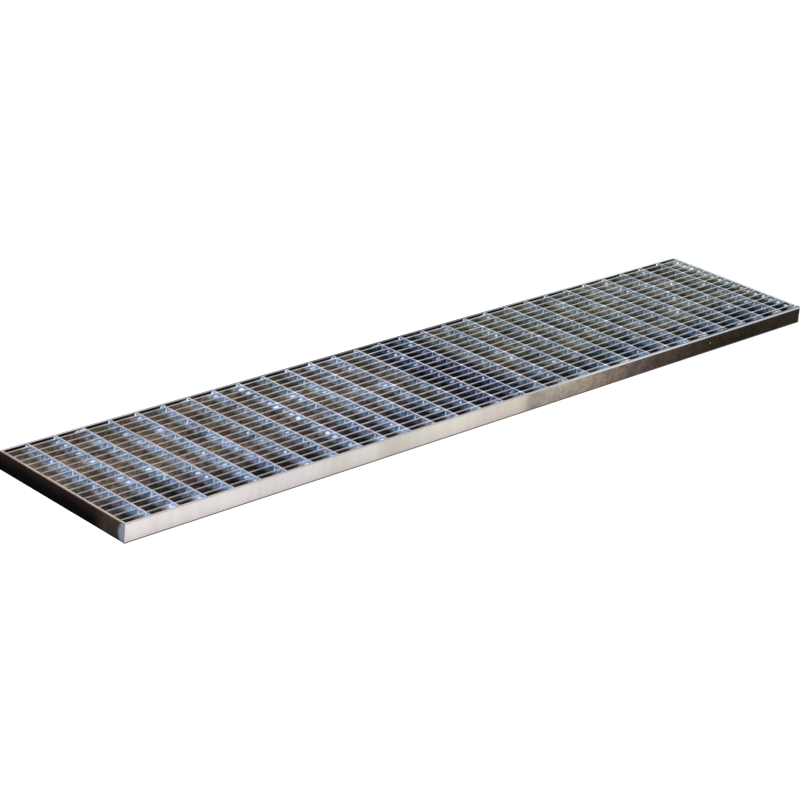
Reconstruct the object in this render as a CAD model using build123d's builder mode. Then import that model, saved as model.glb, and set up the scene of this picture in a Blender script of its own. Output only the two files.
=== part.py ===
from build123d import *
import os

# Press-locked bar grating that covers a drain channel. Sizes are in millimetres.
# X runs along the channel, Y across it and Z up. The origin is the middle of the underside.

# Outside of the frame
grate_length = 997
grate_width = 197
grate_height = 20

# Flat bars of the frame, with the small round edges of hot-rolled bar
side_bar_thickness = 3
end_bar_thickness = 3
rolled_edge_radius = 0.5

# Bearing bars span the channel and carry the load
bearing_bar_thickness = 2
bearing_bar_pitch = 100 / 3

# Cross bars run the length of the grate, pressed flush into slots in the bearing bars
cross_bar_thickness = 2
cross_bar_depth = 10
cross_bar_pitch = 100 / 9

# Fillet welds between the bearing bars and the side bars
seam_leg = 2.5
seam_height = 14

# Tack welds between the cross bars and the end bars
tack_leg = 1.8
tack_height = 6

# How far the welds stay below the walking surface
weld_setback = 1

# Ground weld over the butt joint at each corner of the frame
corner_weld_width = 9
corner_weld_height = 17
corner_weld_rise = 0.6
corner_weld_radius = 4
corner_weld_slope = 35
corner_weld_margin = 0.5

# Space inside the frame, and the number of bars that fill it
clear_length = grate_length - 2 * end_bar_thickness
clear_width = grate_width - 2 * side_bar_thickness
bearing_bar_count = int(clear_length / bearing_bar_pitch)
cross_bar_count = int(clear_width / cross_bar_pitch)

os.makedirs("parts", exist_ok=True)


def save(piece, name):
    piece.part.label = name
    export_step(piece.part, f"parts/{name}.step")


def row_of_places(pitch, count):
    first = -pitch * (count - 1) / 2
    return [first + pitch * step for step in range(count)]


# Side bars run the full length, one at the front and one at the rear
with BuildPart() as front_side_bar:
    front_bar_centre = -(grate_width - side_bar_thickness) / 2
    with BuildSketch(Plane.YZ) as side_bar_section:
        with Locations((front_bar_centre, grate_height / 2)):
            RectangleRounded(side_bar_thickness, grate_height, rolled_edge_radius)
    extrude(amount=grate_length / 2, both=True)
save(front_side_bar, "front_side_bar")

with BuildPart() as rear_side_bar:
    mirror(front_side_bar.part, about=Plane.XZ)
save(rear_side_bar, "rear_side_bar")

# End bars are cut to fit between the side bars
with BuildPart() as left_end_bar:
    left_bar_centre = -(grate_length - end_bar_thickness) / 2
    with BuildSketch(Plane.XZ) as end_bar_section:
        with Locations((left_bar_centre, grate_height / 2)):
            RectangleRounded(end_bar_thickness, grate_height, rolled_edge_radius)
    extrude(amount=clear_width / 2, both=True)
save(left_end_bar, "left_end_bar")

with BuildPart() as right_end_bar:
    mirror(left_end_bar.part, about=Plane.YZ)
save(right_end_bar, "right_end_bar")

# Bearing bars, each with a row of slots open at the top, one for each cross bar
slot_middle = grate_height - cross_bar_depth / 2
for number, place in enumerate(row_of_places(bearing_bar_pitch, bearing_bar_count), start=1):
    with BuildPart() as bearing_bar:
        with BuildSketch(Plane.YZ.offset(place)):
            with Locations((0, grate_height / 2)):
                Rectangle(clear_width, grate_height)
            with Locations((0, slot_middle)):
                with GridLocations(cross_bar_pitch, 0, cross_bar_count, 1):
                    Rectangle(cross_bar_thickness, cross_bar_depth, mode=Mode.SUBTRACT)
        extrude(amount=bearing_bar_thickness / 2, both=True)
    save(bearing_bar, f"bearing_bar_{number:02d}")

# Cross bars, seated on the slot bottoms with their tops level with the bearing bars
for number, place in enumerate(row_of_places(cross_bar_pitch, cross_bar_count), start=1):
    with BuildPart() as cross_bar:
        with BuildSketch(Plane.XZ.offset(-place)):
            with Locations((0, slot_middle)):
                Rectangle(clear_length, cross_bar_depth)
        extrude(amount=cross_bar_thickness / 2, both=True)
    save(cross_bar, f"cross_bar_{number:02d}")

# Fillet welds in the two corners where each bearing bar meets a side bar
seam_bottom = grate_height - weld_setback - seam_height
with BuildPart() as front_bar_welds:
    side_bar_face = -clear_width / 2
    right_corner = bearing_bar_thickness / 2
    with BuildSketch(Plane.XY.offset(seam_bottom)):
        with Locations((0, side_bar_face)):
            with GridLocations(bearing_bar_pitch, 0, bearing_bar_count, 1):
                Polygon(
                    (right_corner, 0), (right_corner + seam_leg, 0), (right_corner, seam_leg), align=None
                )
                Polygon(
                    (-right_corner, 0), (-right_corner, seam_leg), (-right_corner - seam_leg, 0), align=None
                )
    extrude(amount=seam_height)
save(front_bar_welds, "front_bar_welds")

with BuildPart() as rear_bar_welds:
    mirror(front_bar_welds.part, about=Plane.XZ)
save(rear_bar_welds, "rear_bar_welds")

# Tack welds in the two corners where each cross bar meets an end bar
tack_bottom = grate_height - weld_setback - tack_height
with BuildPart() as left_bar_tacks:
    end_bar_face = -clear_length / 2
    rear_corner = cross_bar_thickness / 2
    with BuildSketch(Plane.XY.offset(tack_bottom)):
        with Locations((end_bar_face, 0)):
            with GridLocations(0, cross_bar_pitch, 1, cross_bar_count):
                Polygon(
                    (0, rear_corner), (tack_leg, rear_corner), (0, rear_corner + tack_leg), align=None
                )
                Polygon(
                    (0, -rear_corner), (0, -rear_corner - tack_leg), (tack_leg, -rear_corner), align=None
                )
    extrude(amount=tack_height)
save(left_bar_tacks, "left_bar_tacks")

with BuildPart() as right_bar_tacks:
    mirror(left_bar_tacks.part, about=Plane.YZ)
save(right_bar_tacks, "right_bar_tacks")

# Ground welds over the four corner joints, standing slightly proud of the end faces
with BuildPart() as corner_welds:
    corner_weld_spacing = grate_width - corner_weld_width - 2 * corner_weld_margin
    with BuildSketch(Plane.YZ.offset(grate_length / 2)):
        with Locations((0, grate_height / 2)):
            with GridLocations(corner_weld_spacing, 0, 2, 1):
                RectangleRounded(corner_weld_width, corner_weld_height, corner_weld_radius)
    extrude(amount=corner_weld_rise, taper=corner_weld_slope)
    mirror(about=Plane.YZ)
save(corner_welds, "corner_welds")
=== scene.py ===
import math

import bmesh
import bpy
from mathutils import Euler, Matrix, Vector


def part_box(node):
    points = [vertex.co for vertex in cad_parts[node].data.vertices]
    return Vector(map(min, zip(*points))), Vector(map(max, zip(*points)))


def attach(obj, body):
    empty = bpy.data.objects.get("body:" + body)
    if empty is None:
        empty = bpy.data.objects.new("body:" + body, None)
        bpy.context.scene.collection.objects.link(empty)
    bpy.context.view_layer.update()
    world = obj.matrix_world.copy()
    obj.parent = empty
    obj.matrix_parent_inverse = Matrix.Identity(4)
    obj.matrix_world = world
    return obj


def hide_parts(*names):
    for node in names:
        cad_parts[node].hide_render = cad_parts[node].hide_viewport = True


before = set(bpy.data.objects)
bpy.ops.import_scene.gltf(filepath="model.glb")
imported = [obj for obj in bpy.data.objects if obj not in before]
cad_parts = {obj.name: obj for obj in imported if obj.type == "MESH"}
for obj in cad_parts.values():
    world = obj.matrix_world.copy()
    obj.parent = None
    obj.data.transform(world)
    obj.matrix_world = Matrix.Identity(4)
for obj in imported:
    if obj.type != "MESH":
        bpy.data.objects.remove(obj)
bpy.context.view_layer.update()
mm = 0.001


# Zinc coat
# Everything on the grate was dipped in molten zinc after welding, so one coat covers every piece.
# It is semi-bright, with faint crystals, soft clouds, runs down the faces and pin-head roughness.
def new_inputs(tree, kind, values):
    for name, value in values.items():
        made = tree.interface.new_socket(name=name, in_out="INPUT", socket_type=f"NodeSocket{kind}")
        if value is not None:
            made.default_value = value


def new_outputs(tree, kind, *names):
    for name in names:
        tree.interface.new_socket(name=name, in_out="OUTPUT", socket_type=f"NodeSocket{kind}")


def fill_sockets(tree, sockets, values):
    """Links each socket to its value if that is an output, and otherwise sets it to the value."""
    for socket, value in zip(sockets, values):
        if isinstance(value, bpy.types.NodeSocket):
            tree.links.new(value, socket)
        else:
            socket.default_value = value


def add_node(tree, kind, inputs=None, **settings):
    made = tree.nodes.new(kind)
    for name, value in settings.items():
        setattr(made, name, value)
    if inputs:
        fill_sockets(tree, [made.inputs[name] for name in inputs], inputs.values())
    return made


def blend_colors(tree, share, first, second, how="MIX"):
    mixer = add_node(tree, "ShaderNodeMix", data_type="RGBA", blend_type=how)
    colors = [(*color, 1) if isinstance(color, tuple) else color for color in (first, second)]
    fill_sockets(tree, [mixer.inputs[0], mixer.inputs[6], mixer.inputs[7]], [share, *colors])
    return mixer.outputs[2]


def tinted(tree, color, tint, share=1.0):
    """A colour multiplied by a tint, in full or by a share."""
    return blend_colors(tree, share, color, tint, "MULTIPLY")


def scaled(tree, color, gain):
    """A colour multiplied by a value."""
    gray = add_node(tree, "ShaderNodeCombineColor", {"Red": gain, "Green": gain, "Blue": gain})
    return tinted(tree, color, gray.outputs[0])


def arithmetic(tree, operation, first, second=0.0):
    made = add_node(tree, "ShaderNodeMath", operation=operation)
    fill_sockets(tree, made.inputs, [first, second])
    return made.outputs[0]


def add(tree, first, second):
    return arithmetic(tree, "ADD", first, second)


def subtract(tree, first, second):
    return arithmetic(tree, "SUBTRACT", first, second)


def multiply(tree, first, second):
    return arithmetic(tree, "MULTIPLY", first, second)


def remap(tree, value, low, high, new_low=0.0, new_high=1.0, interpolation="LINEAR"):
    limits = {"Value": value, "From Min": low, "From Max": high, "To Min": new_low, "To Max": new_high}
    return add_node(tree, "ShaderNodeMapRange", limits, interpolation_type=interpolation).outputs["Result"]


def noise(tree, place, scale, detail):
    made = add_node(tree, "ShaderNodeTexNoise", {"Vector": place, "Scale": scale, "Detail": detail})
    return made.outputs["Fac"]


def stretched_noise(tree, place, scales, detail):
    stretched = add_node(tree, "ShaderNodeMapping", {"Vector": place, "Scale": scales})
    return noise(tree, stretched.outputs[0], 1.0, detail)


def make_zinc_coat():
    tree = bpy.data.node_groups.new("zinc_coat", "ShaderNodeTree")
    new_inputs(tree, "Vector", {"Vector": None})
    new_inputs(tree, "Color", {"Bright Zinc": (0.7, 0.7, 0.7, 1), "Dull Zinc": (0.4, 0.4, 0.4, 1)})
    new_inputs(tree, "Float", {"Cloud Scale": 14.0, "Crystal Scale": 130.0, "Crystal Contrast": 0.12})
    new_inputs(tree, "Float", {"Run Contrast": 0.15, "Smoothest": 0.26, "Roughest": 0.48})
    new_outputs(tree, "Color", "Color")
    new_outputs(tree, "Float", "Roughness", "Height")
    given = add_node(tree, "NodeGroupInput").outputs
    result = add_node(tree, "NodeGroupOutput").inputs

    place = given["Vector"]
    cloud_share = remap(tree, noise(tree, place, given["Cloud Scale"], 4.0), 0.36, 0.64)
    tone = blend_colors(tree, cloud_share, given["Dull Zinc"], given["Bright Zinc"])

    crystal_inputs = {"Vector": place, "Scale": given["Crystal Scale"], "Randomness": 1.0}
    crystals = add_node(tree, "ShaderNodeTexVoronoi", crystal_inputs).outputs["Color"]
    crystal_value = add_node(tree, "ShaderNodeSeparateColor", {"Color": crystals}).outputs[0]
    crystal_shift = multiply(tree, remap(tree, crystal_value, 0, 1, -1, 1), given["Crystal Contrast"])
    runs = stretched_noise(tree, place, (90.0, 90.0, 7.0), 3.0)
    run_shift = multiply(tree, remap(tree, runs, 0.3, 0.7, -1, 1), given["Run Contrast"])
    gain = add(tree, 1.0, add(tree, crystal_shift, run_shift))
    tree.links.new(scaled(tree, tone, gain), result["Color"])

    grain = add_node(tree, "ShaderNodeTexNoise", {"Vector": place, "Scale": 420.0, "Detail": 3.0}).outputs
    rough_share = blend_colors(tree, 0.35, crystals, grain["Color"])
    rough_value = add_node(tree, "ShaderNodeSeparateColor", {"Color": rough_share}).outputs[0]
    span = subtract(tree, given["Roughest"], given["Smoothest"])
    roughness = add(tree, given["Smoothest"], multiply(tree, rough_value, span))
    tree.links.new(roughness, result["Roughness"])

    grain_height = 0.25
    height = add(tree, noise(tree, place, 110.0, 2.0), multiply(tree, grain["Fac"], grain_height))
    tree.links.new(height, result["Height"])
    return tree


zinc_coat = make_zinc_coat()
wave_height = 0.4 * mm


def zinc_material(name, bright, dull, tint=None, metallic=1.0, bump=0.35, edge_tint=1.0, **coat_values):
    """Zinc with the shared coat. A tint changes the coat's colour, other values go to its sockets."""
    made = bpy.data.materials.new(name)
    made.use_nodes = True
    tree = made.node_tree
    place = add_node(tree, "ShaderNodeTexCoord").outputs["Object"]
    coat_inputs = {"Vector": place, "Bright Zinc": (*bright, 1), "Dull Zinc": (*dull, 1)}
    for socket, value in coat_values.items():
        coat_inputs[socket.replace("_", " ").title()] = value
    coat = add_node(tree, "ShaderNodeGroup", coat_inputs, node_tree=zinc_coat).outputs
    relief_inputs = {"Height": coat["Height"], "Strength": bump, "Distance": wave_height}
    surface = {
        "Base Color": tint(tree, place, coat["Color"]) if tint else coat["Color"],
        "Metallic": metallic,
        "Roughness": coat["Roughness"],
        "Specular Tint": (edge_tint, edge_tint, edge_tint, 1),
        "Normal": add_node(tree, "ShaderNodeBump", relief_inputs).outputs["Normal"],
    }
    shader = tree.nodes["Principled BSDF"]
    fill_sockets(tree, [shader.inputs[name] for name in surface], surface.values())
    return made


# Frame
# Two side bars and two end bars of 20 x 3 mm rolled flat bar, butted and welded at the corners.
# Rolled bar has small round edges, and zinc leaves its faces a little wavy.
x_axis, y_axis, z_axis = 0, 1, 2


def finish_mesh(piece, sharp_angle=25):
    for face in piece.data.polygons:
        face.use_smooth = True
    piece.data.set_sharp_from_angle(angle=math.radians(sharp_angle))


def new_piece(name, mesh):
    piece = bpy.data.objects.new(name, mesh)
    bpy.context.scene.collection.objects.link(piece)
    return piece


def rounded_bar(name, low, high, radius, steps, along):
    """A flat bar with round long edges, cut into steps along its length and four rows in height."""
    size = [high[i] - low[i] for i in range(3)]
    shape = bmesh.new()
    bmesh.ops.create_cube(shape, size=1.0)
    for corner in shape.verts:
        for axis in range(3):
            corner.co[axis] = low[axis] + (corner.co[axis] + 0.5) * size[axis]
    long_edges = []
    for edge in shape.edges:
        if abs((edge.verts[0].co - edge.verts[1].co)[along]) > size[along] / 2:
            long_edges.append(edge)
    bmesh.ops.bevel(shape, geom=long_edges, offset=radius, segments=3, affect="EDGES", profile=0.5)
    cuts = [(along, low[along] + size[along] * step / steps) for step in range(1, steps)]
    cuts += [(z_axis, low[z_axis] + size[z_axis] * level) for level in (0.25, 0.5, 0.75)]
    for axis, place in cuts:
        point = [0.0, 0.0, 0.0]
        point[axis] = place
        normal = [0.0, 0.0, 0.0]
        normal[axis] = 1.0
        everything = shape.verts[:] + shape.edges[:] + shape.faces[:]
        bmesh.ops.bisect_plane(shape, geom=everything, plane_co=point, plane_no=normal)
    mesh = bpy.data.meshes.new(name)
    shape.to_mesh(mesh)
    shape.free()
    piece = new_piece(name, mesh)
    finish_mesh(piece)
    return piece


def vector_math(tree, operation, first, second=(0, 0, 0)):
    return add_node(tree, "ShaderNodeVectorMath", {0: first, 1: second}, operation=operation).outputs


def coordinates(tree, place):
    return add_node(tree, "ShaderNodeSeparateXYZ", {0: place}).outputs


def soft_step(tree, value, low, high):
    """0 at the low limit and 1 at the high one, which may be the smaller of the two."""
    return remap(tree, value, low, high, interpolation="SMOOTHSTEP")


def near_value(tree, value, centre, outer, inner):
    """1 within the inner distance of a centre and 0 past the outer distance."""
    return soft_step(tree, arithmetic(tree, "ABSOLUTE", subtract(tree, value, centre)), outer, inner)


def color_bands(tree, value, low, high, bands):
    """Colours along a value: bands are (position, colour) pairs in the value's own unit."""
    ramp = add_node(tree, "ShaderNodeValToRGB", {"Fac": remap(tree, value, low, high)})
    stops = ramp.color_ramp.elements
    while len(stops) < len(bands):
        stops.new(0.5)
    for stop, (position, color) in zip(stops, bands):
        stop.position = (position - low) / (high - low)
        stop.color = (*color, 1)
    return ramp.outputs["Color"]


front_bar_low, front_bar_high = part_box("front_side_bar")
half_length = front_bar_high.x
front_face = front_bar_low.y
rear_face = -front_face
frame_top = front_bar_high.z


def end_face_painted_dark_with_patch(tree, place):
    """The left end is painted black below and brown above, a painted reflection of dark surroundings, with
    painted brown highlights near the front and a blue-grey ground patch at the front.
    """
    parts = coordinates(tree, place)
    streak = noise(tree, place, 28.0, 4.0)
    height = add(tree, parts["Z"], remap(tree, streak, 0.3, 0.7, -3 * mm, 3 * mm))
    upper = soft_step(tree, height, 8 * mm, 18.5 * mm)
    # Painted reflection: near black below and dark brown above.
    face = blend_colors(tree, upper, (0.003, 0.0027, 0.003), (0.014, 0.0085, 0.0075))
    near_front = soft_step(tree, parts["Y"], -50 * mm, -76 * mm)
    streak_share = multiply(tree, remap(tree, streak, 0.34, 0.60), near_front)
    # Painted brown highlights in streaks near the front.
    face = blend_colors(tree, streak_share, face, (0.040, 0.028, 0.022))
    patch_centre = (-half_length, front_face, frame_top / 2)
    offset = vector_math(tree, "SUBTRACT", place, patch_centre)["Vector"]
    squeezed = add_node(tree, "ShaderNodeMapping", {"Vector": offset, "Scale": (0.0, 1.0, 0.9)}).outputs[0]
    distance = vector_math(tree, "LENGTH", squeezed)["Value"]
    ragged = add(tree, distance, remap(tree, streak, 0.3, 0.7, -1.2 * mm, 1.2 * mm))
    patch = soft_step(tree, ragged, 11.8 * mm, 6 * mm)
    return blend_colors(tree, patch, face, (0.165, 0.175, 0.23))


def with_left_end(tree, place, tone):
    """A side bar's tone, and on its own left end the painted dark reflection of the end face."""
    x = coordinates(tree, place)["X"]
    on_end = soft_step(tree, x, -half_length + 0.12 * mm, -half_length + 0.02 * mm)
    return blend_colors(tree, on_end, tone, end_face_painted_dark_with_patch(tree, place))


# Painted reflection along the front face: pale where it mirrors a pale floor on the left, dark brown where
# it mirrors dark ground on the right.
front_bar_reflection_bands = [
    (-0.27, (1.0, 1.0, 1.0)),
    (-0.235, (0.89, 0.89, 0.86)),
    (-0.20, (1.01, 1.01, 0.98)),
    (-0.16, (0.91, 0.90, 0.82)),
    (-0.11, (1.03, 1.02, 0.97)),
    (-0.04, (1.0, 0.98, 0.90)),
    (0.028, (0.86, 0.82, 0.73)),
    (0.036, (0.52, 0.49, 0.44)),
    (0.080, (0.56, 0.545, 0.48)),
    (0.120, (0.37, 0.345, 0.305)),
    (0.160, (0.273, 0.245, 0.210)),
    (0.200, (0.158, 0.137, 0.131)),
    (0.240, (0.092, 0.076, 0.068)),
    (0.290, (0.058, 0.047, 0.041)),
    (0.350, (0.035, 0.030, 0.022)),
]


def front_bar_marks_and_painted_light(tree, place, color):
    """The outer face has a painted reflection, pale zinc on the left, grey-brown from the middle on and
    dark brown at the right, with zinc streaks, mottles and wrinkles of its own.
    """
    x, y, z = coordinates(tree, place)
    waver = noise(tree, place, 45.0, 3.0)
    wavy_x = add(tree, x, remap(tree, waver, 0.3, 0.7, -10 * mm, 10 * mm))
    # Painted reflection along the bar, pale on the left and dark brown on the right.
    outer_face_look = tinted(tree, color, color_bands(tree, wavy_x, -0.5, 0.5, front_bar_reflection_bands))
    streaks = remap(tree, stretched_noise(tree, place, (260.0, 260.0, 330.0), 6.0), 0.40, 0.66)
    in_dark = soft_step(tree, x, 0.03, 0.16)
    outer_face_look = tinted(tree, outer_face_look, (1.7, 1.5, 1.35), multiply(tree, streaks, in_dark))
    mottles = blend_colors(tree, remap(tree, waver, 0.38, 0.62), (0.84, 0.83, 0.84), (1.17, 1.18, 1.14))
    in_patch = soft_step(tree, x, 0.028, 0.034)
    outer_face_look = tinted(tree, outer_face_look, mottles, in_patch)
    wrinkles = remap(tree, stretched_noise(tree, place, (620.0, 620.0, 45.0), 2.0), 0.56, 0.70, 0.0, 0.5)
    in_wrinkles = soft_step(tree, x, -0.11, 0.0)
    outer_face_look = tinted(tree, outer_face_look, (0.72, 0.71, 0.68), multiply(tree, wrinkles, in_wrinkles))
    from_speck = vector_math(tree, "DISTANCE", place, (0.335, front_face, 10.5 * mm))["Value"]
    speck = soft_step(tree, from_speck, 0.8 * mm, 0.3 * mm)
    outer_face_look = blend_colors(tree, speck, outer_face_look, (0.7, 0.66, 0.60))
    # Painted highlight of the rounded right corner, pale grey-blue.
    right_tip = soft_step(tree, x, half_length - 1.5 * mm, half_length - 0.8 * mm)
    outer_face_look = blend_colors(tree, right_tip, outer_face_look, (0.34, 0.37, 0.38))
    # Painted contact shadow along the bottom edge.
    foot = soft_step(tree, z, 2 * mm, 0.9 * mm)
    outer_face_look = blend_colors(tree, foot, outer_face_look, (0.08, 0.072, 0.064))

    outside = soft_step(tree, y, front_face + 1.3 * mm, front_face + 0.3 * mm)
    # Painted highlight of a rounded upper edge: a pale grey band along the top of the outer face.
    upper_edge = multiply(tree, soft_step(tree, z, 16.5 * mm, 19.5 * mm), outside)
    color = blend_colors(tree, upper_edge, color, (0.49, 0.475, 0.475))
    # On the top and the inner face: painted cool reflection towards the right, a painted highlight around x
    # = 0.2 and painted shade, near black, further right.
    color = tinted(tree, color, (0.92, 0.99, 1.06), soft_step(tree, x, 0.0, 0.20))
    color = tinted(tree, color, (1.32, 1.32, 1.32), near_value(tree, x, 0.20, 0.15, 0.05))
    inner = multiply(tree, subtract(tree, 1.0, outside), soft_step(tree, x, 0.13, 0.36))
    color = blend_colors(tree, inner, color, (0.078, 0.088, 0.10))
    # The painted edge highlight reaches lower towards the right.
    highlight_band_bottom = remap(tree, x, 0.0, 0.40, 19.4 * mm, 17.9 * mm)
    below_top = soft_step(tree, subtract(tree, z, highlight_band_bottom), 0.3 * mm, -0.3 * mm)
    tone = blend_colors(tree, multiply(tree, outside, below_top), color, outer_face_look)
    return with_left_end(tree, place, tone)


def end_bar_painted_reflection(tree, place, color):
    """The outside has the painted dark reflection of the end face, and the top is dull, its outer edge
    painted dark brown as part of the same reflection.
    """
    parts = coordinates(tree, place)
    outside = soft_step(tree, parts["X"], -half_length + 1.3 * mm, -half_length + 0.3 * mm)
    below_top = soft_step(tree, parts["Z"], 19.7 * mm, 19 * mm)
    # Painted reflection: the outer edge of the top is dark brown.
    outer_edge = soft_step(tree, parts["X"], -half_length + 1.2 * mm, -half_length + 0.3 * mm)
    top_tint = blend_colors(tree, outer_edge, (1.05, 1.02, 0.99), (0.20, 0.16, 0.14))
    dull_top = tinted(tree, color, top_tint)
    return blend_colors(tree, multiply(tree, outside, below_top), dull_top, end_face_painted_dark_with_patch(tree, place))


def corner_weld_tone_and_reflection(tree, place, color):
    """Ground flat: on the left end they blend into the painted dark reflection of the end face, elsewhere
    they are plain zinc.
    """
    on_left = soft_step(tree, coordinates(tree, place)["X"], 0.1, -0.1)
    return blend_colors(tree, on_left, color, end_face_painted_dark_with_patch(tree, place))


# Painted reflection along the top of the rear bar.
rear_top_reflection_bands = [
    (-0.42, (0.62, 0.57, 0.61)),
    (-0.25, (0.46, 0.44, 0.46)),
    (-0.05, (0.20, 0.21, 0.23)),
    (0.05, (0.18, 0.20, 0.23)),
    (0.15, (0.29, 0.32, 0.34)),
    (0.30, (0.64, 0.71, 0.75)),
    (0.45, (0.93, 1.0, 0.95)),
]


def rear_bar_painted_light(tree, place, color):
    """The inner face is painted dark brown as painted shade, the top has a painted reflection, pale at the
    ends and dark in the middle, and the outside is bare.
    """
    x, y, z = coordinates(tree, place)
    mottle = remap(tree, noise(tree, place, 30.0, 3.0), 0.45, 0.7)
    # Painted shade on the inner face, dark brown with mottles.
    inner = blend_colors(tree, mottle, (0.055, 0.045, 0.045), (0.20, 0.18, 0.15))
    on_top = soft_step(tree, z, 19.2 * mm, 19.7 * mm)
    tone = blend_colors(tree, on_top, inner, color_bands(tree, x, -0.5, 0.5, rear_top_reflection_bands))
    outside = soft_step(tree, y, rear_face - 1 * mm, rear_face - 0.2 * mm)
    return with_left_end(tree, place, blend_colors(tree, outside, tone, color))


def right_bar_tone_and_shade(tree, place, color):
    """The inner face is blue-grey and darker towards the bottom as painted shade, and the top and the
    outside are only slightly dulled.
    """
    parts = coordinates(tree, place)
    inner = soft_step(tree, parts["X"], half_length - 2.1 * mm, half_length - 2.7 * mm)
    below_top = soft_step(tree, parts["Z"], 19.7 * mm, 19.2 * mm)
    # Painted shade: the inner face darkens deeper in the mesh.
    deep = soft_step(tree, parts["Z"], 19 * mm, 16 * mm)
    face = blend_colors(tree, deep, (0.54, 0.58, 0.62), (0.25, 0.31, 0.37))
    top_color = tinted(tree, color, (0.80, 0.79, 0.82))
    return blend_colors(tree, multiply(tree, inner, below_top), top_color, face)


frame_look = {"cloud_scale": 9.0, "crystal_contrast": 0.04, "run_contrast": 0.05}
# One zinc on the whole frame: the warm colour of the front, rear and left bars and the cool blue-grey of
# the right bar are painted reflection, beige surroundings on the left and blue sky on the right.
warm_reflection_look = {"bright": (0.607, 0.565, 0.545), "dull": (0.545, 0.505, 0.49), "edge_tint": 0.5, **frame_look}
cool_reflection_look = {"bright": (0.64, 0.71, 0.75), "dull": (0.54, 0.60, 0.63), "bump": 0.1, **frame_look}
frame_materials = {
    "front_side_bar": zinc_material("front_bar_zinc", tint=front_bar_marks_and_painted_light, **warm_reflection_look),
    "rear_side_bar": zinc_material("rear_bar_zinc", tint=rear_bar_painted_light, **warm_reflection_look),
    "left_end_bar": zinc_material("left_bar_zinc", tint=end_bar_painted_reflection, **warm_reflection_look),
    "right_end_bar": zinc_material("right_bar_zinc", tint=right_bar_tone_and_shade, **cool_reflection_look),
}
rolled_edge = 0.6 * mm
for node, material in frame_materials.items():
    along, steps = (x_axis, 120) if "side" in node else (y_axis, 24)
    bar = rounded_bar(f"{node}_coated", *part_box(node), rolled_edge, steps, along)
    bar.data.materials.append(material)
    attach(bar, "root")
    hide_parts(node)


# Bearing bars
# Flat bars on edge across the channel, 20 x 2 mm, each with a row of slots open at the top.
# They were punched before pressing, so their top edges are softly rounded between the slots.
bearing_count = 29
cross_count = 17
first_bar, last_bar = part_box("bearing_bar_01"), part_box(f"bearing_bar_{bearing_count}")
first_cross, last_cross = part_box("cross_bar_01"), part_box(f"cross_bar_{cross_count}")
bearing_pitch = (last_bar[0].x - first_bar[0].x) / (bearing_count - 1)
cross_pitch = (last_cross[0].y - first_cross[0].y) / (cross_count - 1)
bar_half = (first_bar[1].x - first_bar[0].x) / 2
cross_half = (first_cross[1].y - first_cross[0].y) / 2
front_wall, rear_wall = first_bar[0].y, first_bar[1].y
left_wall, right_wall = first_cross[0].x, first_cross[1].x
slot_floor, top = first_cross[0].z, first_bar[1].z
first_x = first_bar[0].x + bar_half
first_y = first_cross[0].y + cross_half
bearing_xs = [first_x + bearing_pitch * i for i in range(bearing_count)]
cross_ys = [first_y + cross_pitch * i for i in range(cross_count)]
bar_edge = 0.4 * mm


def slotted_bar_mesh():
    """One bearing bar in quads, with three stations between slots and a row of quads for each level."""
    stations = [front_wall]
    for y in cross_ys:
        stations += [y - cross_half, y + cross_half]
    stations.append(rear_wall)
    ys = []
    for i in range(len(stations) - 1):
        parts = 3 if i % 2 == 0 else 1
        for part in range(parts):
            ys.append(stations[i] + (stations[i + 1] - stations[i]) * part / parts)
    ys.append(rear_wall)
    levels = [0.0, slot_floor * 0.5, slot_floor, (slot_floor + top) / 2, top]
    floor_level, top_level = 2, 4
    shape = bmesh.new()
    corners = {}

    def corner(side, j, k):
        key = (side, j, k)
        if key not in corners:
            corners[key] = shape.verts.new((side * bar_half, ys[j], levels[k]))
        return corners[key]

    def face(*keys):
        shape.faces.new([corner(*key) for key in keys])

    def is_slot(j):
        middle = (ys[j] + ys[j + 1]) / 2
        return any(abs(middle - y) < cross_half for y in cross_ys)

    for j in range(len(ys) - 1):
        reach = floor_level if is_slot(j) else top_level
        for k in range(reach):
            face((1, j, k), (1, j + 1, k), (1, j + 1, k + 1), (1, j, k + 1))
            face((-1, j, k), (-1, j, k + 1), (-1, j + 1, k + 1), (-1, j + 1, k))
        face((1, j, reach), (1, j + 1, reach), (-1, j + 1, reach), (-1, j, reach))
        face((1, j, 0), (-1, j, 0), (-1, j + 1, 0), (1, j + 1, 0))
    for j in range(1, len(ys) - 1):
        if is_slot(j - 1) != is_slot(j):
            for k in range(floor_level, top_level):
                wall = [(1, j, k), (1, j, k + 1), (-1, j, k + 1), (-1, j, k)]
                face(*(wall if is_slot(j) else wall[::-1]))
    for j in (0, len(ys) - 1):
        for k in range(top_level):
            face((1, j, k), (1, j, k + 1), (-1, j, k + 1), (-1, j, k))
    bmesh.ops.recalc_face_normals(shape, faces=shape.faces)
    long_edges = []
    for edge in shape.edges:
        a, b = edge.verts[0].co, edge.verts[1].co
        if abs(a.x - b.x) < 1e-9 and abs(a.z - b.z) < 1e-9 and a.z in (levels[0], levels[top_level]):
            long_edges.append(edge)
    bmesh.ops.bevel(shape, geom=long_edges, offset=bar_edge, segments=2, affect="EDGES", profile=0.5)
    mesh = bpy.data.meshes.new("slotted_bar")
    shape.to_mesh(mesh)
    shape.free()
    return mesh


def fresh_tree(name, inputs):
    tree = bpy.data.node_groups.new(name, "GeometryNodeTree")
    new_outputs(tree, "Geometry", "Geometry")
    new_inputs(tree, "Geometry", {"Geometry": None})
    for kind, values in inputs.items():
        new_inputs(tree, kind, values)
    return tree


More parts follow.
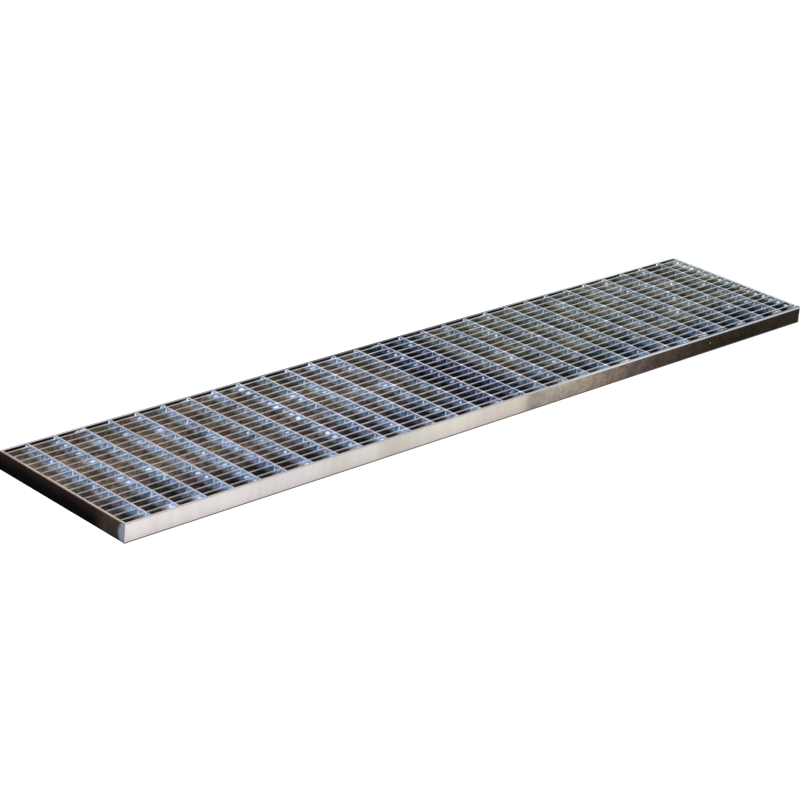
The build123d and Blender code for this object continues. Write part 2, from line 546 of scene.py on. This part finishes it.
def wavy_offset(tree, wave_size, wave_depth, seed, directions):
    """Noise that moves each point by at most half the wave depth along the given directions."""
    place = add_node(tree, "GeometryNodeInputPosition").outputs[0]
    waves = {"Vector": place, "Scale": wave_size, "W": seed, "Detail": 1.0}
    color = add_node(tree, "ShaderNodeTexNoise", waves, noise_dimensions="4D").outputs["Color"]
    centred = vector_math(tree, "SUBTRACT", color, (0.5, 0.5, 0.5))["Vector"]
    deep = add_node(tree, "ShaderNodeVectorMath", {0: centred, "Scale": wave_depth}, operation="SCALE")
    return vector_math(tree, "MULTIPLY", deep.outputs[0], directions)["Vector"]


def finish_tree(tree, geometry, offset, coat):
    real = add_node(tree, "GeometryNodeRealizeInstances", {"Geometry": geometry})
    moved = add_node(tree, "GeometryNodeSetPosition", {"Geometry": real.outputs[0], "Offset": offset})
    coated = add_node(tree, "GeometryNodeSetMaterial", {"Geometry": moved.outputs[0], "Material": coat})
    tree.links.new(coated.outputs[0], add_node(tree, "NodeGroupOutput").inputs[0])
    return tree


def apply_tree(piece, tree, values):
    modifier = piece.modifiers.new("shape", "NODES")
    modifier.node_group = tree
    for item in tree.interface.items_tree:
        if item.item_type == "SOCKET" and item.in_out == "INPUT" and item.name in values:
            modifier[item.identifier] = values[item.name]
    bpy.context.view_layer.update()
    evaluated = piece.evaluated_get(bpy.context.evaluated_depsgraph_get())
    mesh = bpy.data.meshes.new_from_object(evaluated)
    piece.modifiers.remove(modifier)
    mesh.name = piece.name
    piece.data = mesh


def row_tree():
    """Copies one bar into a row and makes the bars a little wavy to the sides."""
    inputs = {
        "Int": {"Count": 10},
        "Vector": {"Step": (0.03, 0, 0), "Start": (0, 0, 0)},
        "Float": {"Wave Scale": 30.0, "Wave Depth": 0.1 * mm, "Seed": 0.0},
        "Material": {"Coat": None},
    }
    tree = fresh_tree("row_of_bars", inputs)
    given = add_node(tree, "NodeGroupInput").outputs
    spread = {"Count": given["Count"], "Start Location": given["Start"], "Offset": given["Step"]}
    line = add_node(tree, "GeometryNodeMeshLine", spread, mode="OFFSET").outputs[0]
    copies = {"Points": line, "Instance": given["Geometry"]}
    placed = add_node(tree, "GeometryNodeInstanceOnPoints", copies).outputs[0]
    offset = wavy_offset(tree, given["Wave Scale"], given["Wave Depth"], given["Seed"], (1, 1, 0))
    return finish_tree(tree, placed, offset, given["Coat"])


row_of_bars = row_tree()
row_waves = {"Wave Scale": 40.0, "Wave Depth": 0.12 * mm}
mesh_layout = {
    "First Bar": first_x,
    "Pitch": bearing_pitch,
    "First Row": first_y,
    "Row Pitch": cross_pitch,
    "Top": top,
}


def make_mesh_zones():
    """Where a point lies in the mesh: its place across the cell and the masks of the differing areas."""
    tree = bpy.data.node_groups.new("mesh_zones", "ShaderNodeTree")
    new_inputs(tree, "Vector", {"Vector": None})
    new_inputs(tree, "Float", mesh_layout)
    given = add_node(tree, "NodeGroupInput").outputs
    place = given["Vector"]
    x, y, z = coordinates(tree, place)
    zones = {}
    from_bar = subtract(tree, x, given["First Bar"])
    from_row = subtract(tree, y, given["First Row"])
    in_pitches = arithmetic(tree, "DIVIDE", from_bar, given["Pitch"])
    zones["Across Cell"] = arithmetic(tree, "FRACT", in_pitches)
    row = arithmetic(tree, "ROUND", arithmetic(tree, "DIVIDE", from_row, given["Row Pitch"]))
    cell = add_node(tree, "ShaderNodeCombineXYZ", {"X": arithmetic(tree, "FLOOR", in_pitches), "Y": row})
    dice = add_node(tree, "ShaderNodeTexWhiteNoise", {"Vector": cell.outputs[0]}).outputs
    zones["Chance"] = dice["Value"]
    zones["Other Chance"] = add_node(tree, "ShaderNodeSeparateColor", {"Color": dice["Color"]}).outputs[1]
    drift = remap(tree, noise(tree, place, 9.0, 1.0), 0.3, 0.7, -0.02, 0.02)
    # Front Rows and Dark Columns mark where painted shade darkens the mesh, and Rightward where the painted
    # reflection changes from the left of the grate to the right.
    zones["Front Rows"] = soft_step(tree, add(tree, y, drift), -0.015, -0.075)
    zones["Dark Columns"] = near_value(tree, x, 0.012, 0.055, 0.025)
    zones["Rightward"] = soft_step(tree, x, -0.35, 0.25)
    zones["Depth"] = subtract(tree, given["Top"], z)
    zones["Bar Top"] = soft_step(tree, zones["Depth"], 0.4 * mm, 0.1 * mm)
    from_crossing = {}
    for axis, offset, pitch in (("X", from_bar, given["Pitch"]), ("Y", from_row, given["Row Pitch"])):
        count = arithmetic(tree, "ROUND", arithmetic(tree, "DIVIDE", offset, pitch))
        from_crossing[axis] = subtract(tree, offset, multiply(tree, count, pitch))
    flat = add_node(tree, "ShaderNodeCombineXYZ", from_crossing).outputs[0]
    # Crossing marks painted highlights on the tops near crossings, stronger towards the right.
    near = soft_step(tree, vector_math(tree, "LENGTH", flat)["Value"], 3 * mm, 1.2 * mm)
    bright = multiply(tree, near, remap(tree, noise(tree, place, 90.0, 1.0), 0.42, 0.60))
    zones["Crossing"] = multiply(tree, bright, remap(tree, x, -0.30, -0.05, 0.2, 1.0))
    new_outputs(tree, "Float", *zones)
    result = add_node(tree, "NodeGroupOutput").inputs
    fill_sockets(tree, [result[name] for name in zones], zones.values())
    return tree


mesh_zones = make_mesh_zones()


def zones_at(tree, place):
    return add_node(tree, "ShaderNodeGroup", {"Vector": place, **mesh_layout}, node_tree=mesh_zones).outputs


# Painted reflection on the bearing bar tops: pinkish grey on the left, a painted highlight left of the
# middle, blue-grey to the right.
bearing_top_reflection_bands = [
    (-0.42, (0.48, 0.465, 0.485)),
    (-0.12, (0.60, 0.575, 0.63)),
    (0.02, (0.45, 0.45, 0.54)),
    (0.20, (0.42, 0.445, 0.49)),
    (0.45, (0.37, 0.405, 0.43)),
]


def bearing_bar_tone(tree, place, color):
    """Painted light: the side facing the light is painted pale blue-grey with streaks, the other side is
    dull warm zinc, and the tops carry painted reflection with painted highlights near crossings.
    """
    zones = zones_at(tree, place)
    streaks = remap(tree, stretched_noise(tree, place, (40.0, 420.0, 60.0), 2.0), 0.35, 0.65)
    left = blend_colors(tree, streaks, (0.24, 0.31, 0.45), (0.46, 0.55, 0.76))
    right = blend_colors(tree, streaks, (0.17, 0.21, 0.25), (0.33, 0.38, 0.42))
    dark = blend_colors(tree, streaks, (0.06, 0.085, 0.17), (0.15, 0.19, 0.30))
    # Painted reflection: bluer on the left of the grate, greyer on the right; painted shade in the dark
    # columns.
    pale = blend_colors(tree, zones["Rightward"], left, right)
    pale = blend_colors(tree, zones["Dark Columns"], pale, dark)
    # The side facing the light is painted paler than the other.
    lit_side = soft_step(tree, zones["Across Cell"], 0.45, 0.55)
    face = blend_colors(tree, lit_side, (0.42, 0.36, 0.30), pale)
    crest = color_bands(tree, coordinates(tree, place)["X"], -0.5, 0.5, bearing_top_reflection_bands)
    crest = tinted(tree, crest, (0.97, 0.98, 1.02), zones["Front Rows"])
    crest = blend_colors(tree, zones["Crossing"], crest, (0.95, 0.98, 1.02))
    return tinted(tree, color, blend_colors(tree, zones["Bar Top"], face, crest))


strip_colors = ((0.9, 0.9, 0.9), (0.75, 0.75, 0.75))
bearing_zinc = zinc_material(
    "bearing_bar_zinc", *strip_colors, tint=bearing_bar_tone, metallic=0.6, cloud_scale=30.0
)
bearing_row = {"Count": bearing_count, "Step": (bearing_pitch, 0, 0), "Start": (first_x, 0, 0), **row_waves}
bearing_bars = new_piece("bearing_bars", slotted_bar_mesh())
apply_tree(bearing_bars, row_of_bars, {**bearing_row, "Seed": 3.0, "Coat": bearing_zinc})
finish_mesh(bearing_bars)
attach(bearing_bars, "root")
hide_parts(*[f"bearing_bar_{i:02d}" for i in range(1, bearing_count + 1)])


# Cross bars
# Thinner strips, 10 x 2 mm, pressed cold into the slots until their tops are level.
# They run the whole length of the grate, between the end bars.
# Painted reflection and painted shade across each cell of the cross bar faces.
cell_bands = {
    "left": [
        (0.10, (0.60, 0.42, 0.32)),
        (0.32, (0.51, 0.37, 0.30)),
        (0.50, (0.41, 0.35, 0.31)),
        (0.66, (0.74, 0.70, 0.66)),
        (0.80, (0.58, 0.62, 0.69)),
        (0.92, (0.42, 0.51, 0.71)),
    ],
    "right": [
        (0.10, (0.39, 0.35, 0.28)),
        (0.35, (0.49, 0.45, 0.34)),
        (0.64, (0.80, 0.76, 0.65)),
        (0.80, (0.56, 0.61, 0.62)),
        (0.92, (0.42, 0.51, 0.56)),
    ],
    "dark": [
        (0.10, (0.085, 0.074, 0.11)),
        (0.40, (0.058, 0.066, 0.11)),
        (0.66, (0.36, 0.44, 0.52)),
        (0.80, (0.20, 0.29, 0.42)),
        (0.92, (0.10, 0.18, 0.36)),
    ],
    "left_front": [
        (0.10, (0.145, 0.092, 0.105)),
        (0.42, (0.092, 0.088, 0.105)),
        (0.66, (0.52, 0.52, 0.58)),
        (0.80, (0.47, 0.52, 0.66)),
        (0.92, (0.39, 0.49, 0.72)),
    ],
    "right_front": [
        (0.10, (0.11, 0.108, 0.15)),
        (0.42, (0.080, 0.115, 0.165)),
        (0.66, (0.43, 0.52, 0.66)),
        (0.80, (0.22, 0.37, 0.57)),
        (0.92, (0.25, 0.41, 0.70)),
    ],
    "left_crest": [(0.15, (0.40, 0.37, 0.32)), (0.50, (0.35, 0.35, 0.325)), (0.8, (0.51, 0.58, 0.69))],
    "right_crest": [(0.15, (0.46, 0.465, 0.455)), (0.8, (0.53, 0.58, 0.63))],
}


def cross_bar_tone(tree, place, color):
    """Painted light: brown to grey faces with a soft pale band and a dark gap before the next bearing bar
    as painted reflection, darker as painted shade in the front rows and dark columns, paler near the top.
    """
    zones = zones_at(tree, place)
    depth = zones["Depth"]
    waver = remap(tree, noise(tree, place, 120.0, 2.0), 0.3, 0.7, -0.05, 0.05)
    slant = remap(tree, depth, 1.5 * mm, 5.5 * mm, 0.0, 0.2)
    across = subtract(tree, add(tree, zones["Across Cell"], waver), slant)
    tones = {area: color_bands(tree, across, 0.0, 1.0, bands) for area, bands in cell_bands.items()}
    face = blend_colors(tree, zones["Rightward"], tones["left"], tones["right"])
    front = blend_colors(tree, zones["Rightward"], tones["left_front"], tones["right_front"])
    face = blend_colors(tree, zones["Front Rows"], face, front)
    face = blend_colors(tree, zones["Dark Columns"], face, tones["dark"])
    face = scaled(tree, face, remap(tree, zones["Chance"], 0.0, 1.0, 0.57, 1.34))
    shift = blend_colors(tree, zones["Other Chance"], (1.10, 1.0, 0.90), (0.90, 1.01, 1.08))
    face = tinted(tree, face, shift)
    face = scaled(tree, face, remap(tree, noise(tree, place, 230.0, 3.0), 0.36, 0.64, 0.70, 1.32))
    # Painted shade: more contrast deeper in the cell.
    deep = soft_step(tree, depth, 0.8 * mm, 4.5 * mm)
    contrast = subtract(tree, remap(tree, across, 0.42, 0.66, 0.53, 1.28), 1.0)
    face = scaled(tree, face, add(tree, 1.0, multiply(tree, deep, contrast)))
    # Painted light from above: the faces are paler near the top.
    pale_share = multiply(tree, soft_step(tree, depth, 2.6 * mm, 0.6 * mm), 0.35)
    face = blend_colors(tree, pale_share, face, (0.50, 0.47, 0.43))

    # Painted reflection on the tops, warm on the left and cool on the right, with a painted highlight left
    # of the middle, painted shade in the dark columns and painted highlights at the crossings.
    crest = blend_colors(tree, zones["Rightward"], tones["left_crest"], tones["right_crest"])
    in_middle = near_value(tree, coordinates(tree, place)["X"], -0.11, 0.20, 0.08)
    crest = tinted(tree, crest, (1.22, 1.18, 1.26), in_middle)
    crest = tinted(tree, crest, (0.96, 0.96, 0.99), zones["Front Rows"])
    crest = blend_colors(tree, zones["Dark Columns"], crest, (0.47, 0.46, 0.56))
    crest = blend_colors(tree, zones["Crossing"], crest, (1.0, 1.0, 1.0))
    crest = tinted(tree, crest, (1.05, 1.05, 1.06))
    on_top = soft_step(tree, depth, 0.24 * mm, 0.05 * mm)
    return tinted(tree, color, blend_colors(tree, on_top, face, crest))


cross_zinc = zinc_material("cross_bar_zinc", *strip_colors, tint=cross_bar_tone, cloud_scale=30.0)
low, high = first_cross
blank_low, blank_high = (low.x, -cross_half, low.z), (high.x, cross_half, high.z)
cross_row = {"Count": cross_count, "Step": (0, cross_pitch, 0), "Start": (0, first_y, 0), **row_waves}
cross_bars = rounded_bar("cross_bars", blank_low, blank_high, bar_edge, 180, x_axis)
apply_tree(cross_bars, row_of_bars, {**cross_row, "Seed": 8.0, "Coat": cross_zinc})
finish_mesh(cross_bars)
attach(cross_bars, "root")
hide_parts(*[f"cross_bar_{i:02d}" for i in range(1, cross_count + 1)])


# Zinc in the mesh corners
# Wherever two bars cross, molten zinc stayed in the four corners and set as a small hollow fillet.
# Each fillet is smoother than the bars and painted brighter, blue-white, as a painted highlight, and its
# size and shape vary.
def bead_mesh(name, levels, section):
    """Closed bead along Z: levels are (height, size) pairs, section(size) gives the ring's points."""
    shape = bmesh.new()
    rings = [[shape.verts.new((*point, height)) for point in section(size)] for height, size in levels]
    for lower, upper in zip(rings, rings[1:]):
        for i in range(len(lower)):
            j = (i + 1) % len(lower)
            shape.faces.new([lower[i], lower[j], upper[j], upper[i]])
    shape.faces.new(rings[0][::-1])
    shape.faces.new(rings[-1])
    bmesh.ops.recalc_face_normals(shape, faces=shape.faces)
    mesh = bpy.data.meshes.new(name)
    shape.to_mesh(mesh)
    shape.free()
    return mesh


def hollow_section(size):
    """A corner's cross-section with a hollow face, whose back lies slightly inside the bars."""
    sunk = -0.15 * mm
    last_step = 3
    arc = []
    for step in range(last_step + 1):
        angle = math.radians(90) * step / last_step
        arc.append((max(size * (1 - math.sin(angle)), sunk), max(size * (1 - math.cos(angle)), sunk)))
    arc[0] = (size, sunk)
    arc[-1] = (sunk, size)
    return [(sunk, sunk), *arc]


def beads_tree():
    """Puts beads of varying size on a share of the points and makes them lumpy."""
    inputs = {
        "Object": {"Bead": None},
        "Float": {"Share": 1.0, "Lump Scale": 400.0, "Lump Depth": 0.3 * mm},
        "Vector": {"Least Size": (1, 1, 1), "Largest Size": (1, 1, 1)},
        "Int": {"Seed": 0},
        "Material": {"Coat": None},
    }
    tree = fresh_tree("beads_on_points", inputs)
    given = add_node(tree, "NodeGroupInput").outputs
    seed = given["Seed"]
    chance = add_node(tree, "FunctionNodeRandomValue", {"Seed": seed}, data_type="FLOAT").outputs[1]
    limits = {0: chance, 1: given["Share"]}
    left_out = add_node(tree, "FunctionNodeCompare", limits, data_type="FLOAT", operation="GREATER_THAN")
    unwanted = {"Geometry": given["Geometry"], "Selection": left_out.outputs[0]}
    kept = add_node(tree, "GeometryNodeDeleteGeometry", unwanted, domain="POINT").outputs[0]
    bead = add_node(tree, "GeometryNodeObjectInfo", {"Object": given["Bead"]}).outputs["Geometry"]
    turn = add_node(tree, "GeometryNodeInputNamedAttribute", {"Name": "turn"}, data_type="FLOAT").outputs[0]
    euler = add_node(tree, "ShaderNodeCombineXYZ", {"Z": turn}).outputs[0]
    rotation = add_node(tree, "FunctionNodeEulerToRotation", {0: euler}).outputs[0]
    sizes = {0: given["Least Size"], 1: given["Largest Size"], "Seed": seed}
    size = add_node(tree, "FunctionNodeRandomValue", sizes, data_type="FLOAT_VECTOR").outputs[0]
    copies = {"Points": kept, "Instance": bead, "Rotation": rotation, "Scale": size}
    placed = add_node(tree, "GeometryNodeInstanceOnPoints", copies).outputs[0]
    lump_seed = add(tree, seed, 0.5)
    offset = wavy_offset(tree, given["Lump Scale"], given["Lump Depth"], lump_seed, (1, 1, 0.6))
    return finish_tree(tree, placed, offset, given["Coat"])


beads_on_points = beads_tree()


def beads(name, places, bead, least, largest, seed, lumps, share=1.0):
    """A piece of beads at places, which are (point, turn) pairs, with sizes from least to largest."""
    points = bpy.data.meshes.new(name)
    points.from_pydata([place for place, turn in places], [], [])
    turns = points.attributes.new("turn", "FLOAT", "POINT")
    turns.data.foreach_set("value", [turn for place, turn in places])
    piece = new_piece(name, points)
    blank = new_piece(f"{name}_blank", bead)
    sizes = {"Share": share, "Least Size": least, "Largest Size": largest, "Seed": seed}
    apply_tree(piece, beads_on_points, {"Bead": blank, **sizes, **lumps})
    bpy.data.objects.remove(blank)
    finish_mesh(piece, 60)
    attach(piece, "root")
    return piece


def fillet_tone(tree, place, color):
    """Painted light: fillets are bluer on the left and greyer on the right as painted reflection, and
    dimmer in the dark columns as painted shade.
    """
    zones = zones_at(tree, place)
    tone = blend_colors(tree, zones["Rightward"], (0.80, 0.92, 1.0), (0.68, 0.74, 0.78))
    tone = blend_colors(tree, zones["Dark Columns"], tone, (0.46, 0.54, 0.72))
    tone = scaled(tree, tone, remap(tree, zones["Other Chance"], 0.0, 1.0, 0.45, 1.15))
    return tinted(tree, color, tone)


def mesh_corners(sides, bars=bearing_xs):
    """Corners of the mesh at the level of the tops, with the turn that faces the open cell."""
    places = []
    for x in bars:
        for y in cross_ys:
            for side_x, side_y, turn in sides:
                places.append(((x + side_x * bar_half, y + side_y * cross_half, top), math.radians(turn)))
    return places


fillet_look = {"cloud_scale": 110.0, "crystal_contrast": 0.2, "smoothest": 0.3, "roughest": 0.6}
# White and blue zinc colours: a painted highlight with painted sky reflection.
fillet_zinc = zinc_material(
    "fillet_zinc", (1.0, 1.0, 1.0), (0.56, 0.68, 0.88), tint=fillet_tone, metallic=0.2, **fillet_look
)
fillet_depth = top - slot_floor
fillet_profile = [(-1.05, 0.3), (-0.94, 1.15), (-0.7, 1.1), (-0.45, 0.95), (-0.2, 0.65), (-0.03, 0.3)]
fillet_levels = [(level * fillet_depth, size * mm) for level, size in fillet_profile]
fillet = bead_mesh("corner_fillet", fillet_levels, hollow_section)
fillet_lumps = {"Lump Scale": 500.0, "Lump Depth": 0.5 * mm, "Coat": fillet_zinc}
quadrants = [(1, 1, 0), (-1, 1, 90), (-1, -1, 180), (1, -1, 270)]
drained_corners = mesh_corners(quadrants[2:3])
other_corners = mesh_corners(quadrants[:2] + quadrants[3:])
beads("thick_corner_fillets", drained_corners, fillet, (0.9, 0.9, 0.95), (2.3, 2.3, 1.0), 11, fillet_lumps)
beads("thin_corner_fillets", other_corners, fillet, (0.5, 0.5, 0.95), (1.1, 1.1, 1.0), 12, fillet_lumps)


# Zinc drops
# Here and there the zinc ran down a corner and set as a thick round drop.
# Most are small. One bearing bar on the left has a row of large ones.
def full_section(size):
    """A corner's cross-section with a round face, whose back lies slightly inside the bars."""
    sunk = -0.2 * mm
    low, bulge, high = 0.3 * size, 0.62 * size, 0.92 * size
    return [(sunk, sunk), (size, sunk), (high, low), (bulge, bulge), (low, high), (sunk, size)]


def drop_tone(tree, place, color):
    """A drop has a painted highlight in its middle and painted blue reflection above and below."""
    zones = zones_at(tree, place)
    above_foot = soft_step(tree, zones["Depth"], 5.8 * mm, 4.2 * mm)
    below_head = soft_step(tree, zones["Depth"], 1.6 * mm, 3 * mm)
    shine = multiply(tree, above_foot, below_head)
    tone = blend_colors(tree, shine, (0.32, 0.42, 0.62), (0.95, 0.98, 1.0))
    tone = scaled(tree, tone, remap(tree, zones["Chance"], 0.0, 1.0, 0.50, 1.30))
    return tinted(tree, color, tone)


drop_levels = [(6.0, 0.3), (5.5, 1.3), (4.8, 2.0), (4.0, 2.2)]
drop_levels += [(3.2, 1.9), (2.4, 1.2), (1.6, 0.7), (0.6, 0.4)]
drop = bead_mesh("zinc_drop", [(-depth * mm, size * mm) for depth, size in drop_levels], full_section)
drop_look = {"cloud_scale": 160.0, "smoothest": 0.2, "roughest": 0.5}
# The drops' white and blue colours are painted highlight and painted reflection.
drop_zinc = zinc_material(
    "drop_zinc", (0.95, 0.98, 1.0), (0.66, 0.76, 0.95), tint=drop_tone, metallic=0.15, **drop_look
)
drop_lumps = {"Lump Scale": 450.0, "Lump Depth": 1.7 * mm, "Coat": drop_zinc}
lumpy_corners = mesh_corners(quadrants[2:3], [bearing_xs[8]])
beads("zinc_drops", drained_corners, drop, (0.6, 0.4, 0.7), (2.8, 1.1, 1.0), 5, drop_lumps, 0.36)
beads("zinc_drop_row", lumpy_corners, drop, (1.3, 1.2, 0.9), (2.4, 1.8, 1.1), 9, drop_lumps, 0.85)


# Weld tongues
# In the narrow gaps at the side bars, a few seams ran out to the left in long, flat tongues.
# They are white at the seam and grey-green at the tip.
def tongue_tone(tree, place, color):
    across = zones_at(tree, place)["Across Cell"]
    waver = remap(tree, noise(tree, place, 300.0, 2.0), 0.3, 0.7, -0.15, 0.15)
    bands = [(0.50, (0.17, 0.18, 0.16)), (0.78, (0.40, 0.41, 0.36)), (0.93, (1.0, 1.0, 0.97))]
    return tinted(tree, color, color_bands(tree, add(tree, across, waver), 0.0, 1.0, bands))


tongue_look = {"cloud_scale": 130.0, "smoothest": 0.25}
tongue_zinc = zinc_material(
    "tongue_zinc", (1.0, 1.0, 0.97), (0.62, 0.63, 0.60), tint=tongue_tone, metallic=0.25, **tongue_look
)
tongue_shape = bmesh.new()
bmesh.ops.create_icosphere(tongue_shape, subdivisions=4, radius=1.0 * mm)
tongue = bpy.data.meshes.new("tongue")
tongue_shape.to_mesh(tongue)
tongue_shape.free()
reach_left, inset, sunk = 6.5 * mm, 3.2 * mm, 2.0 * mm
front_tongues = [(bearing_xs[number], front_wall + inset) for number in (8, 17, 20, 24, 26, 28)]
rear_tongues = [(bearing_xs[number], rear_wall - inset) for number in (2, 6, 14, 19, 25)]
corner_tongue = (right_wall, front_wall + inset)
tongue_places = []
for x, y in [*front_tongues, *rear_tongues, corner_tongue]:
    tongue_places.append(((x - reach_left, y, top - sunk), 0.0))
tongue_lumps = {"Lump Scale": 340.0, "Lump Depth": 3.0 * mm, "Coat": tongue_zinc}
beads("weld_tongues", tongue_places, tongue, (6.0, 1.3, 0.9), (8.0, 2.4, 1.6), 3, tongue_lumps)


# Welds
# Bearing bars are fillet-welded to the side bars and cross bars are tacked to the end bars.
# Each corner has its own rippled bead. The frame's corner joints are ground nearly flush.
# The welds' near-white colour is a painted highlight; the zinc is the same as on the bars.
weld_zinc = zinc_material(
    "weld_zinc", (1.0, 1.0, 1.0), (0.74, 0.79, 0.86), metallic=0.2, cloud_scale=110.0, roughest=0.5
)
weld_lumps = {"Lump Scale": 350.0, "Lump Depth": 0.7 * mm, "Coat": weld_zinc}


def weld_row(name, node, leg_axis, places, seed, smallest=0.8, largest=1.15, rise_share=1.0):
    """Beads in the place of one node of plain welds, which gives their leg, foot and height."""
    low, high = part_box(node)
    leg = high[leg_axis] - low[leg_axis]
    rise = (high.z - low.z) * rise_share
    last_step = 8
    ripple_depth, ripple_turn, end_size = 0.12, 2.4, 0.45
    levels = []
    for step in range(last_step + 1):
        ripple = 1.0 + ripple_depth * math.sin(step * ripple_turn)
        end = end_size if step in (0, last_step) else 1.0
        levels.append((low.z + rise * step / last_step, leg * ripple * end))
    bead = bead_mesh(f"{name}_bead", levels, full_section)
    least_size, largest_size = (smallest, smallest, 0.97), (largest, largest, 1.03)
    piece = beads(name, places, bead, least_size, largest_size, seed, weld_lumps)
    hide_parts(node)


def beside_bearing_bars(wall, sides):
    """The corners at the ends of the bearing bars: sides are (side of the bar, turn) pairs."""
    places = []
    for side, turn in sides:
        places += [((x + side * bar_half, wall, 0.0), math.radians(turn)) for x in bearing_xs]
    return places


def beside_cross_bars(wall, sides):
    """The corners at the ends of the cross bars: sides are (side of the bar, turn) pairs."""
    places = []
    for side, turn in sides:
        places += [((wall, y + side * cross_half, 0.0), math.radians(turn)) for y in cross_ys]
    return places


front_places = beside_bearing_bars(front_wall, [(1, 0), (-1, 90)])
rear_places = beside_bearing_bars(rear_wall, [(-1, 180), (1, 270)])
left_places = beside_cross_bars(left_wall, [(1, 0), (-1, 270)])
right_places = beside_cross_bars(right_wall, [(1, 90), (-1, 180)])
weld_row("front_bar_weld_beads", "front_bar_welds", y_axis, front_places, 21, 1.0, 1.7)
weld_row("rear_bar_weld_beads", "rear_bar_welds", y_axis, rear_places, 22, 0.4, 0.9)
weld_row("left_bar_tack_beads", "left_bar_tacks", x_axis, left_places, 23)
weld_row("right_bar_tack_beads", "right_bar_tacks", x_axis, right_places, 24, 0.9, 1.8, 0.72)

ground_colors = ((0.5, 0.52, 0.58), (0.4, 0.42, 0.48))
ground_zinc = zinc_material(
    "ground_weld_zinc", *ground_colors, tint=corner_weld_tone_and_reflection, edge_tint=0.5, **frame_look
)
corner_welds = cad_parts["corner_welds"]
corner_welds.data.materials.clear()
corner_welds.data.materials.append(ground_zinc)


# Studio
# A pale floor that can't be seen from below, a soft sky and two broad lamps.
# The camera stands at the photograph's angle.
def seen_directly(tree):
    """1 for what the camera sees itself or in a reflection."""
    rays = add_node(tree, "ShaderNodeLightPath").outputs
    return arithmetic(tree, "MAXIMUM", rays["Is Camera Ray"], rays["Is Glossy Ray"])


def area_lamp(name, place, size, power, color):
    """A round lamp that shines on the middle of the grate."""
    data = bpy.data.lights.new(name, "AREA")
    data.shape = "DISK"
    data.size = size
    data.energy = power
    data.color = color
    lamp = bpy.data.objects.new(name, data)
    bpy.context.scene.collection.objects.link(lamp)
    lamp.location = place
    lamp.rotation_euler = (-Vector(place)).to_track_quat("-Z", "Y").to_euler()


floor_half = 15.0
floor_corners = [(x * floor_half, y * floor_half, 0) for x, y in ((-1, -1), (1, -1), (1, 1), (-1, 1))]
floor_mesh = bpy.data.meshes.new("floor")
floor_mesh.from_pydata(floor_corners, [], [(0, 1, 2, 3)])
floor = new_piece("floor", floor_mesh)
pale = bpy.data.materials.new("pale_floor")
pale.use_nodes = True
tree = pale.node_tree
tree.nodes.clear()
glow_strength = multiply(tree, seen_directly(tree), 0.8)
matt = add_node(tree, "ShaderNodeBsdfDiffuse", {"Color": (0.5, 0.5, 0.5, 1)}).outputs[0]
glow = add_node(tree, "ShaderNodeEmission", {"Color": (1, 1, 1, 1), "Strength": glow_strength}).outputs[0]
above = add_node(tree, "ShaderNodeAddShader", {0: matt, 1: glow}).outputs[0]
from_below = add_node(tree, "ShaderNodeNewGeometry").outputs["Backfacing"]
clear = add_node(tree, "ShaderNodeBsdfTransparent").outputs[0]
one_sided = add_node(tree, "ShaderNodeMixShader", {0: from_below, 1: above, 2: clear}).outputs[0]
add_node(tree, "ShaderNodeOutputMaterial", {"Surface": one_sided})
floor_mesh.materials.append(pale)

world = bpy.data.worlds.new("sky")
bpy.context.scene.world = world
world.use_nodes = True
tree = world.node_tree
tree.nodes.clear()
soft = add_node(tree, "ShaderNodeBackground", {"Color": (0.9, 0.95, 1.0, 1), "Strength": 0.55}).outputs[0]
white = add_node(tree, "ShaderNodeBackground", {"Color": (1, 1, 1, 1), "Strength": 1.0}).outputs[0]
sky = add_node(tree, "ShaderNodeMixShader", {0: seen_directly(tree), 1: soft, 2: white}).outputs[0]
add_node(tree, "ShaderNodeOutputWorld", {"Surface": sky})

area_lamp("key_lamp", (-1.6, 1.2, 2.2), 1.0, 60, (0.95, 0.97, 1.0))
area_lamp("left_lamp", (-2.2, -0.7, 1.1), 0.9, 26, (0.85, 0.92, 1.0))

camera_data = bpy.data.cameras.new("camera")
camera = bpy.data.objects.new("camera", camera_data)
bpy.context.scene.collection.objects.link(camera)
bpy.context.scene.camera = camera
camera_data.sensor_width = 36.0
camera_data.lens = 111.66
camera_data.clip_end = 100
camera.location = (-1.7703, -1.6912, 1.0281)
heading, fall, roll = (math.radians(a) for a in (45.387, 23.118, 4.490))
ahead = Vector((math.sin(heading) * math.cos(fall), math.cos(heading) * math.cos(fall), -math.sin(fall)))
level_view = ahead.to_track_quat("-Z", "Y")
camera.rotation_mode = "QUATERNION"
camera.rotation_quaternion = level_view @ Euler((0, 0, roll)).to_quaternion()

bpy.context.scene.view_settings.view_transform = "Standard"
